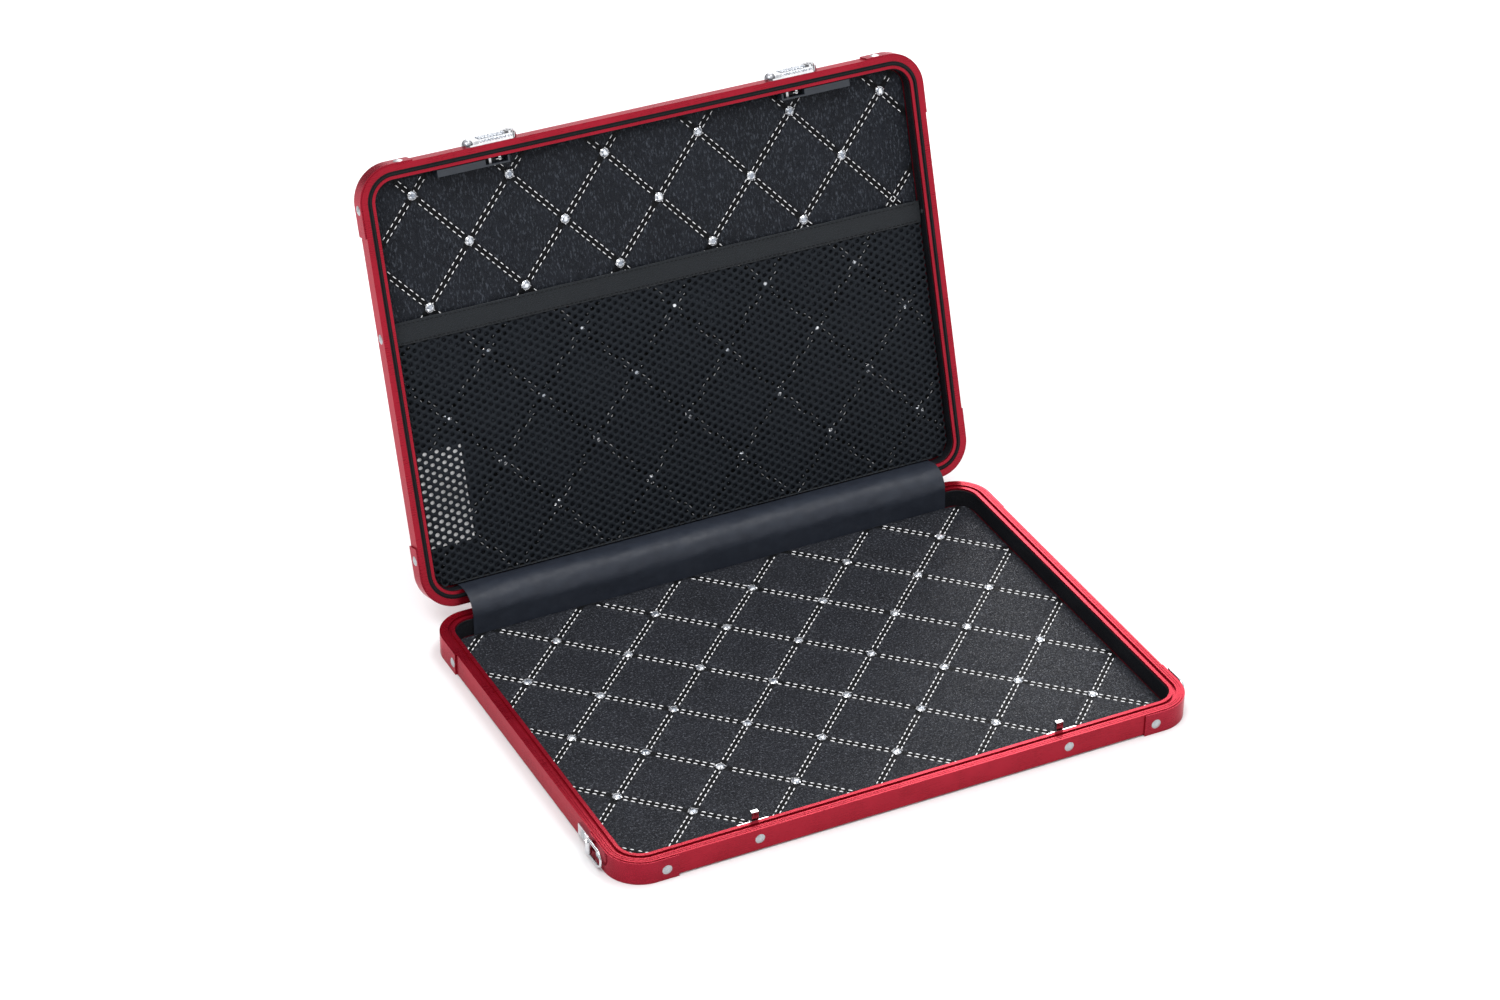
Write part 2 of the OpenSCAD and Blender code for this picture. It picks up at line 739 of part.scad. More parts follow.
base_frame();
base_panel();
base_cap(-1, -1);  // base_cap_fl
base_cap(1, -1);  // base_cap_fr
base_cap(-1, 1);  // base_cap_bl
base_cap(1, 1);  // base_cap_br
base_cap_rivets();
base_lining();
base_quilt();
base_stones();
strike(-1);  // strike_left
strike(1);  // strike_right
strike_rivets();
strap_bracket(-1);  // strap_bracket_left
strap_bracket(1);  // strap_bracket_right
strap_rivets();
strap_ring(-1);  // strap_ring_left
strap_ring(1);  // strap_ring_right
hinge_base_leaf(-1);  // hinge_base_leaf_left
hinge_base_leaf(1);  // hinge_base_leaf_right
hinge_pin(-1);  // hinge_pin_left
hinge_pin(1);  // hinge_pin_right
hinge_base_rivets();
hinge_strip();
lid_frame();
lid_panel();
lid_gasket();
lid_cap(-1, -1);  // lid_cap_fl
lid_cap(1, -1);  // lid_cap_fr
lid_cap(-1, 1);  // lid_cap_bl
lid_cap(1, 1);  // lid_cap_br
lid_cap_rivets();
lid_lining();
lid_quilt();
lid_stones();
pocket_net();
pocket_hem();
pocket_rivets();
label_patch();
lock_plate(-1);  // lock_plate_left
lock_plate(1);  // lock_plate_right
lock_plug(-1);  // lock_plug_left
lock_plug(1);  // lock_plug_right
lock_knob(-1);  // lock_knob_left
lock_knob(1);  // lock_knob_right
lock_bolt(-1);  // lock_bolt_left
lock_bolt(1);  // lock_bolt_right
lock_spring(-1);  // lock_spring_left
lock_spring(1);  // lock_spring_right
lock_case(-1);  // lock_case_left
lock_case(1);  // lock_case_right
lock_pillars();
hinge_lid_leaf(-1);  // hinge_lid_leaf_left
hinge_lid_leaf(1);  // hinge_lid_leaf_right
hinge_lid_rivets();
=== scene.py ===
import math

import bmesh
import bpy
import numpy as np
from mathutils import Matrix, Vector


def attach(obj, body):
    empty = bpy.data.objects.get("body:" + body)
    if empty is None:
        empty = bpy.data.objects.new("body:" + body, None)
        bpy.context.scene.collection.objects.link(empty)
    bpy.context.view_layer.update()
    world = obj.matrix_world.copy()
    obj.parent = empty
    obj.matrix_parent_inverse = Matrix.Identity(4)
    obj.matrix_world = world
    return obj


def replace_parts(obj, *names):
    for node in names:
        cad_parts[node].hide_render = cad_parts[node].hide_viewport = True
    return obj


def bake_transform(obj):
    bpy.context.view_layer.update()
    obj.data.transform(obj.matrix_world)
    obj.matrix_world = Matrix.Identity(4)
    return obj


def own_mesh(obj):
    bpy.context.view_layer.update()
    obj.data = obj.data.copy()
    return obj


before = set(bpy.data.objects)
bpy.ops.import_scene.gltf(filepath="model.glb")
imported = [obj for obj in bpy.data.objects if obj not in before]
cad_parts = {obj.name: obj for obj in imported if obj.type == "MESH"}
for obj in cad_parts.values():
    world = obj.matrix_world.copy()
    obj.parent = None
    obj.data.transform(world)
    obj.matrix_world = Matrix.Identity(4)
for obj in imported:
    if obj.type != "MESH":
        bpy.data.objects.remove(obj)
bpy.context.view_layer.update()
rng = np.random.default_rng(7)

# All lengths are in millimetres until a mesh is made. Lid pieces are drawn on the closed lid.
MM = 0.001
HALF_W, HALF_D, CORNER_R = 200.0, 146.0, 23.0
HINGE_Y, SEAM_Z, OPEN = 149.0, 16.3, math.radians(108)
QUILT_X, QUILT_Y0, QUILT_Y1, QUILT_R = 189.4, -135.4, 135.3, 12.4
BASE_SEAM_Z, LID_SEAM_Z = 3.15, 25.35
NET_Z = 23.3
LOCK_X, LOCK_Z = 107.5, SEAM_Z + 5.5
HEM_Y0, HEM_Y1 = -44.0, -29.0


def to_lid(points):
    """Closed lid to where it stands open."""
    p = np.asarray(points, float)
    y, z = p[:, 1] - HINGE_Y, p[:, 2] - SEAM_Z
    c, s = math.cos(OPEN), math.sin(OPEN)
    return np.column_stack([p[:, 0], HINGE_Y + y*c + z*s, SEAM_Z - y*s + z*c])


# ---- meshes -----------------------------------------------------------------

def piece(name, points, faces, materials, body, smooth=40, index=None, facet_glint_tones=None,
          weld=False):
    """A mesh piece that rides on a body; its points are in millimetres in the row frame."""
    mesh = bpy.data.meshes.new(name)
    mesh.from_pydata((np.asarray(points)*MM).tolist(), [], faces)
    if weld:
        work = bmesh.new()
        work.from_mesh(mesh)
        bmesh.ops.remove_doubles(work, verts=work.verts, dist=0.02*MM)
        work.to_mesh(mesh)
        work.free()
    mesh.validate()
    obj = bpy.data.objects.new(name, mesh)
    bpy.context.scene.collection.objects.link(obj)
    for m in materials:
        mesh.materials.append(m)
    if index is not None:
        mesh.polygons.foreach_set("material_index", index)
    if smooth:
        mesh.polygons.foreach_set("use_smooth", [True]*len(mesh.polygons))
        if smooth < 180:
            mesh.set_sharp_from_angle(angle=math.radians(smooth))
    if facet_glint_tones is not None:
        # The tone layer carries painted light: the bright and dark glints of a cut stone's facets.
        layer = mesh.color_attributes.new("tone", "FLOAT_COLOR", "CORNER")
        values = []
        for polygon, tone in zip(mesh.polygons, facet_glint_tones):
            values += [tone, tone, tone, 1.0]*polygon.loop_total
        layer.data.foreach_set("color", values)
    if body:
        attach(obj, body)
    return obj


class Build:
    """Gathers the points and faces of one piece."""

    def __init__(self):
        self.points, self.faces, self.index, self.tones, self.count = [], [], [], [], 0

    def add(self, points, faces, index=0, tones=None):
        points = np.asarray(points, float)
        self.points.append(points)
        self.faces += [tuple(i + self.count for i in f) for f in faces]
        self.index += [index]*len(faces) if np.isscalar(index) else list(index)
        self.tones += [1.0]*len(faces) if tones is None else list(tones)
        self.count += len(points)

    def all(self):
        return np.vstack(self.points)


def outline(inset, long_steps=110, short_steps=78, corner_steps=14):
    """Points round the case's rounded outline at an inset, counter-clockwise."""
    r, cx, cy = CORNER_R - inset, HALF_W - CORNER_R, HALF_D - CORNER_R
    points = []
    corners = ((1, -1), (1, 1), (-1, 1), (-1, -1))
    for q, (sx, sy) in enumerate(corners):
        for i in range(corner_steps + 1):
            a = math.radians(90*(q - 1) + 90*i/corner_steps)
            points.append((sx*cx + r*math.cos(a), sy*cy + r*math.sin(a)))
        nx, ny = corners[(q + 1) % 4]
        a = math.radians(90*q)
        end = (nx*cx + r*math.cos(a), ny*cy + r*math.sin(a))
        steps = short_steps if q % 2 == 0 else long_steps
        start = points[-1]
        for i in range(1, steps):
            t = i/steps
            points.append((start[0] + (end[0] - start[0])*t, start[1] + (end[1] - start[1])*t))
    return np.array(points)


def ring_faces(rows, columns, close_rows=True, close_columns=True):
    """Quads of a grid of rows by columns, each closed on itself or not."""
    faces = []
    for i in range(rows if close_rows else rows - 1):
        for j in range(columns if close_columns else columns - 1):
            k, l = (i + 1) % rows, (j + 1) % columns
            faces.append((i*columns + j, i*columns + l, k*columns + l, k*columns + j))
    return faces


def grid_rim(rows, columns):
    """The indices of the points round the edge of a grid, in order."""
    rim = list(range(columns)) + [i*columns + columns - 1 for i in range(1, rows)]
    rim += [(rows - 1)*columns + j for j in range(columns - 2, -1, -1)]
    return rim + [i*columns for i in range(rows - 2, 0, -1)]


def wobble(x, y, scale, seed):
    """Smooth noise between about -1 and 1, from a few sine waves."""
    local = np.random.default_rng(seed)
    total = np.zeros(np.shape(x))
    for _ in range(7):
        a, phase = local.uniform(0, 2*math.pi), local.uniform(0, 2*math.pi)
        k = local.uniform(0.5, 1.6)/scale
        total = total + np.sin(2*math.pi*k*(np.cos(a)*x + np.sin(a)*y) + phase)
    return total/3.0


# ---- materials ----------------------------------------------------------------

class Shader:
    """A Principled material built up from texture nodes, in millimetres on the piece."""

    def __init__(self, name, turned=False, **sockets):
        self.material = bpy.data.materials.new(name)
        self.material.use_nodes = True
        self.nodes, self.links = self.material.node_tree.nodes, self.material.node_tree.links
        self.bsdf = self.nodes["Principled BSDF"]
        for key, value in sockets.items():
            self.bsdf.inputs[key.replace("_", " ")].default_value = value
        self.turned = turned
        self.height = None

    def node(self, kind, **inputs):
        n = self.nodes.new(kind)
        for key, value in inputs.items():
            self.put(n.inputs[key.replace("_", " ")], value)
        return n

    def put(self, socket, value):
        if isinstance(value, bpy.types.NodeSocket):
            self.links.new(value, socket)
        else:
            socket.default_value = value

    def coords(self, stretch=(1, 1, 1)):
        where = self.node("ShaderNodeTexCoord").outputs["Object"]
        mapping = self.node("ShaderNodeMapping", Vector=where)
        if not self.turned:
            mapping.inputs["Scale"].default_value = [1000/s for s in stretch]
        else:
            mapping.inputs["Scale"].default_value = (1000,)*3
            mapping.inputs["Rotation"].default_value = (OPEN, 0, 0)
            mapping = self.node("ShaderNodeMapping", Vector=mapping.outputs[0])
            mapping.inputs["Scale"].default_value = [1/s for s in stretch]
        return mapping.outputs[0]

    def noise(self, scale, detail=3, rough=0.55, stretch=(1, 1, 1), distortion=0.0):
        n = self.node("ShaderNodeTexNoise", Vector=self.coords(stretch), Scale=1/scale, Detail=detail,
                      Roughness=rough, Distortion=distortion)
        return n.outputs["Fac"]

    def cells(self, scale, feature="F1", stretch=(1, 1, 1), randomness=1.0, output="Distance"):
        n = self.node("ShaderNodeTexVoronoi", Vector=self.coords(stretch), Scale=1/scale,
                      Randomness=randomness)
        n.feature = feature
        return n.outputs[output]

    def waves(self, scale, axis, stretch=(1, 1, 1), distortion=0.0):
        n = self.node("ShaderNodeTexWave", Vector=self.coords(stretch), Scale=0.5/scale,
                      Distortion=distortion, Detail=1)
        n.bands_direction = axis
        return n.outputs["Fac"]

    def math(self, operation, a, b=0.0):
        n = self.nodes.new("ShaderNodeMath")
        n.operation = operation
        self.put(n.inputs[0], a)
        self.put(n.inputs[1], b)
        return n.outputs[0]

    def ramp(self, fac, *stops):
        """stops are (place, colour or grey)."""
        n = self.node("ShaderNodeValToRGB", Fac=fac)
        elements = n.color_ramp.elements
        while len(elements) < len(stops):
            elements.new(0.5)
        for e, (place, value) in zip(elements, stops):
            e.position = place
            e.color = (*value, 1) if hasattr(value, "__len__") else (value, value, value, 1)
        return n.outputs["Color"]

    def mix(self, fac, a, b, blend="MIX"):
        n = self.nodes.new("ShaderNodeMix")
        n.data_type, n.blend_type = "RGBA", blend
        self.put(n.inputs[0], fac)
        self.put(n.inputs[6], (*a, 1) if isinstance(a, tuple) else a)
        self.put(n.inputs[7], (*b, 1) if isinstance(b, tuple) else b)
        return n.outputs[2]

    def bump(self, height, depth, strength=1.0):
        """Adds relief, depth in millimetres."""
        n = self.node("ShaderNodeBump", Height=height, Strength=strength, Distance=depth*MM)
        if self.height is not None:
            self.links.new(self.height, n.inputs["Normal"])
        self.height = n.outputs[0]
        self.links.new(self.height, self.bsdf.inputs["Normal"])

    def set(self, socket, value):
        self.put(self.bsdf.inputs[socket], value)


def anodised(name, color, bright, rough, turned=False, grain=1.0):
    s = Shader(name, turned, Metallic=0.62, Roughness=rough, Coat_Weight=0.04, Coat_Roughness=0.14,
               Specular_Tint=(1.0, 0.45, 0.50, 1))
    cloud = s.noise(26, 4, 0.6)
    fine = s.noise(0.35, 3, 0.6)
    tone = s.mix(s.ramp(cloud, (0.35, 0.0), (0.7, 1.0)), color, bright)
    worn = s.ramp(s.noise(1.7, 5, 0.72), (0.70, 0.0), (0.80, 1.0))
    s.set("Base Color", s.mix(s.math("MULTIPLY", worn, 0.06), tone, (0.55, 0.20, 0.22)))
    scratch = s.noise(0.5, 2, 0.5, (14, 1, 1))
    both = s.math("ADD", s.math("MULTIPLY", cloud, 0.5), s.math("MULTIPLY", scratch, 0.5))
    s.set("Roughness", s.ramp(both, (0.3, rough - 0.06), (0.72, rough + 0.10)))
    s.bump(fine, 0.012*grain)
    s.bump(scratch, 0.010*grain)
    return s.material


def plated(name, color, rough, grain=0.006, dark=0.75):
    s = Shader(name, Metallic=1.0, Roughness=rough)
    smudge = s.noise(3.2, 4, 0.6)
    mottle = s.ramp(smudge, (0.3, 0.0), (0.75, 1.0))
    s.set("Base Color", s.mix(mottle, tuple(c*dark for c in color), color))
    s.set("Roughness", s.ramp(smudge, (0.3, rough*0.7), (0.75, rough*1.5)))
    s.bump(s.noise(0.25, 3, 0.6), grain)
    s.bump(s.noise(0.8, 2, 0.5, (1, 1, 6)), grain)
    return s.material


def leather(name, color, grain_glint_color, rough, pebble, stretch=(1, 1, 1), turned=False, depth=0.05, grain_glint_strength=0.35,
            shine=0.24):
    """Embossed leatherette: fine pebbles and short creases, with paler flecks painted into the colour as
    highlights on the grain, and painted shade along the quilt seams.
    """
    s = Shader(name, turned, Roughness=rough, Specular_IOR_Level=shine)
    pebbles = s.cells(pebble, "DISTANCE_TO_EDGE", stretch)
    crease = s.noise(pebble*1.3, 4, 0.65, tuple(3*v for v in stretch) if turned else (2.2, 1, 1), 0.6)
    crease_lines = s.ramp(crease, (0.47, 1.0), (0.5, 0.0), (0.53, 1.0))
    # Painted highlight: paler flecks of the grain, whose brightness stands in for light caught by the
    # grain.
    grain_glint_mask = s.ramp(s.noise(pebble*1.1, 3, 0.7, stretch), (0.54, 0.0), (0.66, 1.0))
    cloud = s.ramp(s.noise(22, 3, 0.5), (0.3, 0.0), (0.7, 1.0))
    base = s.mix(cloud, tuple(c*0.72 for c in color), color)
    # Painted shade: the seam layer darkens the colour to near black in the seam valleys and under the
    # thread rows.
    seam_shade = s.nodes.new("ShaderNodeVertexColor")
    seam_shade.layer_name = "seam_shade"
    grain = s.mix(s.math("MULTIPLY", grain_glint_mask, grain_glint_strength), base, grain_glint_color)
    s.set("Base Color", s.mix(seam_shade.outputs["Color"], grain, (0.002, 0.0024, 0.003)))
    s.set("Roughness", s.ramp(pebbles, (0.0, rough + 0.18), (0.25, rough - 0.05)))
    s.bump(s.ramp(pebbles, (0.0, 0.0), (0.22, 1.0)), depth)
    s.bump(crease_lines, depth*0.8)
    s.bump(s.noise(pebble*5, 3, 0.6, stretch), depth*1.2)
    s.bump(s.noise(0.25, 2, 0.5), depth*0.25)
    return s.material


def strip_vinyl():
    """Soft vinyl of the front strip, slightly wavy."""
    s = Shader("strip_vinyl", Roughness=0.42, Specular_IOR_Level=0.3)
    s.set("Base Color", s.mix(s.noise(9, 3), (0.015, 0.018, 0.027), (0.030, 0.037, 0.052)))
    s.set("Roughness", s.ramp(s.noise(5, 4, 0.6), (0.3, 0.38), (0.7, 0.54)))
    s.bump(s.cells(0.5), 0.02)
    s.bump(s.noise(7, 3, 0.5, (3, 1, 1)), 0.25, 0.6)
    return s.material


def gasket_rubber():
    """Matt black rubber of the seal and the feet."""
    s = Shader("gasket_rubber", Roughness=0.62, Specular_IOR_Level=0.16)
    s.set("Base Color", s.mix(s.noise(4, 4), (0.006, 0.007, 0.008), (0.014, 0.015, 0.017)))
    s.bump(s.noise(0.3, 3), 0.03)
    return s.material


def net_yarn():
    """Dark yarn of the pocket's net."""
    s = Shader("net_yarn", Roughness=0.62, Specular_IOR_Level=0.16)
    s.set("Base Color", s.mix(s.noise(0.5, 3), (0.0045, 0.0065, 0.0095), (0.014, 0.018, 0.024)))
    s.bump(s.cells(0.28), 0.08)
    return s.material


def hem_fabric():
    """Ribbed woven band above the net."""
    s = Shader("hem_fabric", True, Roughness=0.66, Sheen_Weight=0.15, Sheen_Roughness=0.4,
               Specular_IOR_Level=0.3)
    rows = s.waves(0.9, "Y")
    ribs = s.cells(0.55, stretch=(1, 1.4, 1))
    s.set("Base Color", s.mix(s.math("MULTIPLY", rows, ribs), (0.006, 0.0075, 0.0095),
                              (0.027, 0.036, 0.046)))
    s.bump(rows, 0.22)
    s.bump(ribs, 0.16)
    return s.material


def label_satin():
    """White satin weave of the blank label."""
    s = Shader("label_satin", True, Roughness=0.5, Sheen_Weight=0.2, Sheen_Roughness=0.4)
    weave = s.math("MULTIPLY", s.waves(0.35, "X"), s.waves(0.35, "Y"))
    s.set("Base Color", s.mix(s.noise(6, 3), (0.72, 0.72, 0.73), (0.86, 0.86, 0.86)))
    s.bump(weave, 0.05)
    return s.material


def white_thread():
    """Twisted white thread of the stitches."""
    s = Shader("white_thread", Roughness=0.48, Sheen_Weight=0.6, Sheen_Roughness=0.35)
    s.set("Base Color", s.mix(s.noise(1.4, 3), (0.80, 0.81, 0.84), (0.97, 0.97, 0.98)))
    s.bump(s.noise(0.18, 2), 0.06)
    return s.material


def lock_plastic():
    """Dark moulded plastic of the lock cases."""
    s = Shader("lock_case_plastic", Roughness=0.38, Specular_IOR_Level=0.5)
    s.set("Base Color", s.mix(s.noise(8, 3), (0.014, 0.018, 0.026), (0.024, 0.030, 0.041)))
    s.set("Roughness", s.ramp(s.noise(1.2, 4), (0.3, 0.32), (0.7, 0.46)))
    s.bump(s.noise(0.3, 3), 0.02)
    return s.material


def cut_stone():
    """Clear cut stone; each facet's painted glint or painted dark reflection comes from the piece."""
    s = Shader("cut_stone", Metallic=0.55, Roughness=0.06, IOR=2.2, Coat_Weight=1.0, Coat_Roughness=0.03)
    # Painted reflections: the tone layer makes each facet bright or dark as a stand-in for glints and dark
    # reflections.
    tone = s.nodes.new("ShaderNodeVertexColor")
    tone.layer_name = "tone"
    facet_glint_color = s.mix(tone.outputs["Color"], (0.05, 0.07, 0.11), (0.95, 0.97, 1.0))
    s.set("Base Color", s.mix(s.math("MULTIPLY", s.noise(0.9, 2), 0.35), facet_glint_color, (0.62, 0.72, 0.86)))
    s.bump(s.noise(0.6, 1), 0.01)
    return s.material


# Every material, by the record's slot or by the part of the case it dresses.
MATERIALS = {
    "red_frame": anodised("anodised_frame", (0.28, 0.0060, 0.018), (0.35, 0.010, 0.026), 0.28),
    "red_panel": anodised("anodised_panel", (0.13, 0.0035, 0.010), (0.17, 0.0055, 0.014), 0.42,
                          grain=1.6),
    "red_cap": anodised("anodised_cap", (0.26, 0.0060, 0.019), (0.33, 0.010, 0.028), 0.26),
    "rivet_steel": plated("rivet_nickel", (0.50, 0.53, 0.55), 0.34),
    "bright_steel": plated("fitting_nickel", (0.72, 0.73, 0.75), 0.16),
    "hinge_steel": plated("hinge_nickel", (0.62, 0.62, 0.64), 0.30, 0.012),
    "lock_chrome": plated("lock_chrome", (0.84, 0.85, 0.87), 0.10),
    "knob_steel": plated("knob_nickel", (0.46, 0.47, 0.50), 0.30),
    "lining_leather": leather("lining_leatherette", (0.007, 0.008, 0.011), (0.025, 0.028, 0.034),
                              0.50, 0.9),
    "quilt_base": leather("base_leatherette", (0.0185, 0.0205, 0.0270), (0.135, 0.145, 0.170),
                          0.40, 1.3, depth=0.24, grain_glint_strength=0.7),
    "quilt_lid": leather("lid_leatherette", (0.012, 0.0145, 0.0205), (0.085, 0.098, 0.120),
                         0.42, 1.0, (1, 3.0, 1), True, depth=0.24, grain_glint_strength=0.62, shine=0.17),
    "strip_vinyl": strip_vinyl(),
    "gasket_rubber": gasket_rubber(),
    "net_fabric": net_yarn(),
    "hem_fabric": hem_fabric(),
    "label_fabric": label_satin(),
    "thread": white_thread(),
    "lock_case_plastic": lock_plastic(),
    "stone": cut_stone(),
}


def dress_frame():
    """Gives every CAD node its own material, and softens the edges of the hard parts."""
    slots = {"quilt_leather": "quilt_base"}
    bevels = {"red_frame": 0.16, "red_cap": 0.22, "red_panel": 0.3, "bright_steel": 0.18,
              "lock_chrome": 0.16, "lock_case_plastic": 0.3, "hinge_steel": 0.15, "rivet_steel": 0.08}
    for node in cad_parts.values():
        slot = node.data.materials[0].name.split(".")[0]
        key = slots.get(slot, slot)
        for i in range(len(node.data.materials)):
            node.data.materials[i] = MATERIALS[key]
        if slot in bevels:
            bevel = node.modifiers.new("edge", "BEVEL")
            bevel.width = bevels[slot]*MM
            bevel.segments = 2
            bevel.limit_method = "ANGLE"
            bevel.angle_limit = math.radians(50)
            bevel.harden_normals = True


# ---- quilted panels -------------------------------------------------------------

class Quilt:
    """One quilted panel: the lattice of its stones, and its surface between the seams."""

    def __init__(self, first, half_pitch, rows, seam_z, up, seed, puff, thread, skip=()):
        self.first, self.half, self.rows = np.array(first), half_pitch, rows
        self.seam_z, self.up = seam_z, up
        self.seed, self.puff, self.thread, self.skip = seed, puff, thread, skip
        a, b = half_pitch
        length = math.hypot(a, b)
        self.directions = [np.array((a, b))/length, np.array((a, -b))/length]
        self.normals = [np.array((-b, a))/length, np.array((b, a))/length]
        self.spacing = 2*a*b/length
        self.row_gap = 1.5

    def stones(self):
        found = []
        for i in range(self.rows):
            for k in range(6):
                x = self.first[0] - (i % 2)*self.half[0] + 2*k*self.half[0]
                if abs(x) < 183.5 and (i, k) not in self.skip:
                    found.append((x, self.first[1] - i*self.half[1]))
        return found

    def seam_distance(self, x, y):
        best = np.full(np.shape(x), 1e9)
        for n in self.normals:
            s = ((x - self.first[0])*n[0] + (y - self.first[1])*n[1])/self.spacing
            best = np.minimum(best, np.abs(s - np.round(s))*self.spacing)
        return best

    def lift(self, x, y):
        """Height of the surface over the bottom of its seams."""
        x, y = np.asarray(x, float), np.asarray(y, float)
        d = self.seam_distance(x, y)
        e = np.maximum(d - self.row_gap, 0)
        crown = self.puff*(1 - np.exp(-(e/4.6)**1.35))
        between = 0.28*np.clip(1 - (d/self.row_gap)**2, 0, 1)
        pucker = 0.07*wobble(x, y, 4.2, self.seed)*np.exp(-(e/3.5)**2)
        pucker = pucker + 0.05*wobble(x, y, 17, self.seed + 1)
        edge = np.minimum(QUILT_X - np.abs(x), np.minimum(y - QUILT_Y0, QUILT_Y1 - y))
        edge = np.clip(edge/7, 0, 1)
        return (crown + between + pucker)*(1 - (1 - edge)**2.2) - 0.25*(1 - edge)**3

    def z(self, x, y):
        return self.seam_z + self.up*self.lift(x, y)

    def panel(self, name, material, body, node, place, bottom_z):
        step = 1.25
        rows = int(round((QUILT_Y1 - QUILT_Y0)/step))
        columns = int(round(2*QUILT_X/step))
        y = np.linspace(QUILT_Y0, QUILT_Y1, rows + 1)
        u = np.linspace(-1, 1, columns + 1)
        near = np.clip(np.minimum(y - QUILT_Y0, QUILT_Y1 - y), 0, QUILT_R)
        half = QUILT_X - QUILT_R + np.sqrt(QUILT_R**2 - (QUILT_R - near)**2)
        x2 = u[None, :]*half[:, None]
        y2 = np.broadcast_to(y[:, None], x2.shape)
        top = np.column_stack([x2.ravel(), y2.ravel(), self.z(x2, y2).ravel()])
        n, m = rows + 1, columns + 1
        faces = ring_faces(n, m, False, False)
        rim = grid_rim(n, m)
        bottom = top[rim].copy()
        bottom[:, 2] = bottom_z
        count = len(top)
        for i in range(len(rim)):
            j = (i + 1) % len(rim)
            faces.append((rim[j], rim[i], count + i, count + j))
        faces.append(tuple(count + i for i in range(len(rim)))[::-1])
        if self.up < 0:
            faces = [f[::-1] for f in faces]
        obj = piece(name, place(np.vstack([top, bottom])), faces, [material], body, 50)
        # Painted shade for the seam layer: dark in the seam valleys and along the thread rows, where
        # shadow falls.
        near_seam = self.seam_distance(x2, y2).ravel()
        dark = 0.9*np.exp(-(near_seam/1.35)**2) + 0.8*np.exp(-((near_seam - self.row_gap)/0.8)**2)
        dark = np.r_[np.clip(dark, 0, 0.97), np.zeros(len(rim))]
        obj.data.color_attributes.new("seam_shade", "FLOAT_COLOR", "POINT").data.foreach_set(
            "color", np.column_stack([dark, dark, dark, np.ones(len(dark))]).ravel())
        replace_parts(obj, node)
        return obj

    def stitches(self, name, body, place):
        """Two rows of stitches along every seam, each a short rounded thread sunk at its ends."""
        build = Build()
        pitch, long, r, sides = 4.95, 3.2, self.thread, 6
        stones = np.array(self.stones())
        ring = [(math.cos(2*math.pi*i/sides), math.sin(2*math.pi*i/sides)) for i in range(sides)]
        stations = ((-0.5, 0.25, -0.42), (-0.40, 0.8, 0.02), (0.0, 1.0, 0.16), (0.40, 0.8, 0.02),
                    (0.5, 0.25, -0.42))
        for direction, normal in zip(self.directions, self.normals):
            for line in range(-12, 13):
                for side in (-1, 1):
                    start = self.first + normal*(line*self.spacing + side*self.row_gap)
                    for k in range(-90, 91):
                        c = start + direction*(k + 0.5)*pitch
                        c = c + direction*rng.uniform(-0.18, 0.18) + normal*rng.uniform(-0.08, 0.08)
                        if abs(c[0]) > QUILT_X - 2.5 or not QUILT_Y0 + 2.5 < c[1] < QUILT_Y1 - 2.5:
                            continue
                        dx = abs(c[0]) - (QUILT_X - QUILT_R)
                        dy = max(c[1] - QUILT_Y1, QUILT_Y0 - c[1]) + QUILT_R
                        if dx > 0 and dy > 0 and math.hypot(dx, dy) > QUILT_R - 2.5:
                            continue
                        if np.hypot(*(stones - c).T).min() < 4.7:
                            continue
                        size = long*rng.uniform(0.90, 1.08)
                        points = []
                        for t, wide, sink in stations:
                            q = c + direction*(t*size)
                            z = self.z(q[0], q[1]) + self.up*sink
                            for a, b in ring:
                                points.append((q[0] + normal[0]*a*r*wide, q[1] + normal[1]*a*r*wide,
                                               z + b*r*wide*0.85))
                        faces = ring_faces(len(stations), sides, False)
                        faces += [tuple(range(sides))[::-1],
                                  tuple(range((len(stations) - 1)*sides, len(stations)*sides))]
                        build.add(points, faces)
        return piece(name, place(build.all()), build.faces, [MATERIALS["thread"]], body, 60)

    def gems(self, name, body, place, node):
        """A cut stone in a ring with four claws at every crossing of the seams."""
        build = Build()
        for x, y in self.stones():
            spin = rng.uniform(0, math.pi)
            z0 = self.seam_z + 0.02*self.up
            gem(build, (x, y, z0), (1, 0, 0), (0, 1, 0), (0, 0, self.up), 2.75, 1.35, spin)
        obj = piece(name, place(build.all()), build.faces, [MATERIALS["stone"], MATERIALS["bright_steel"]],
                    body, 24, build.index, build.tones)
        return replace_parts(obj, node)


